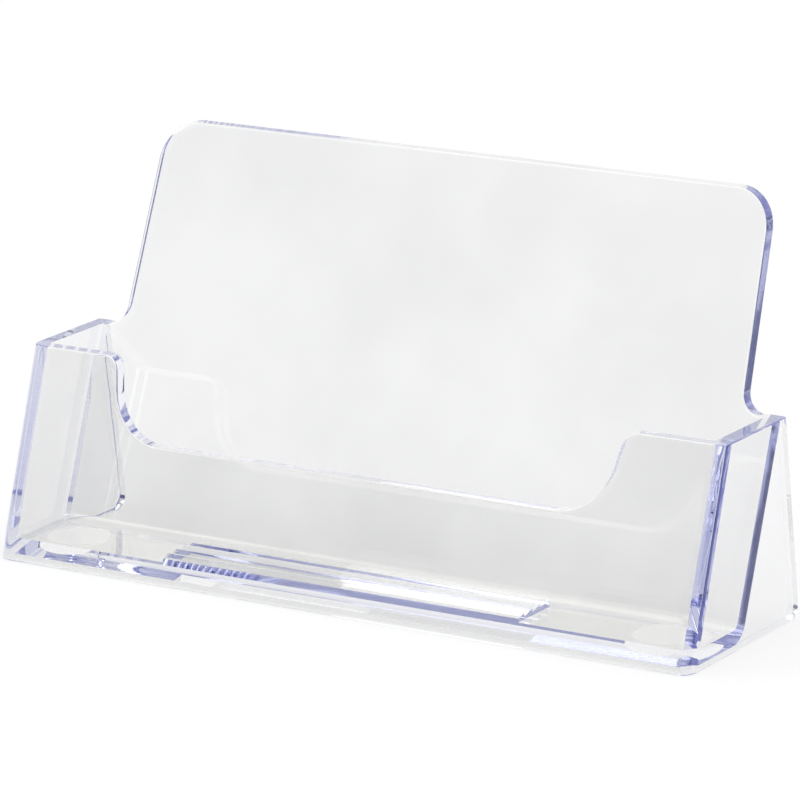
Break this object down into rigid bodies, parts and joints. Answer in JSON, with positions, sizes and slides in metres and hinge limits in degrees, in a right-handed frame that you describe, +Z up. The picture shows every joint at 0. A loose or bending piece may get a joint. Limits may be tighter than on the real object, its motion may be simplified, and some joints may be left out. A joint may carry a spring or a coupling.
{
  "type": "business card holder",
  "caption": "Clear desk holder with one leaning pocket for business cards, a wide cut-out in its front wall and a tall back panel with rounded corners.",
  "frame": {"origin": "on the surface that the holder stands on, in the middle of its width and depth", "axes": "+X to the holder's right as seen from the front, +Y to its back, +Z up"},
  "size_m": [0.095, 0.0318, 0.0485],
  "materials": {
    "clear_plastic": "clear, polished, colourless with a faint blue cast at its edges"
  },
  "bodies": {
    "root": {"front_wall": "clear_plastic", "pocket_floor": "clear_plastic", "back_panel": "clear_plastic", "left_end_wall": "clear_plastic", "right_end_wall": "clear_plastic", "card_ribs": "clear_plastic", "left_foot_pad": "clear_plastic", "right_foot_pad": "clear_plastic"}
  },
  "joints": []
}
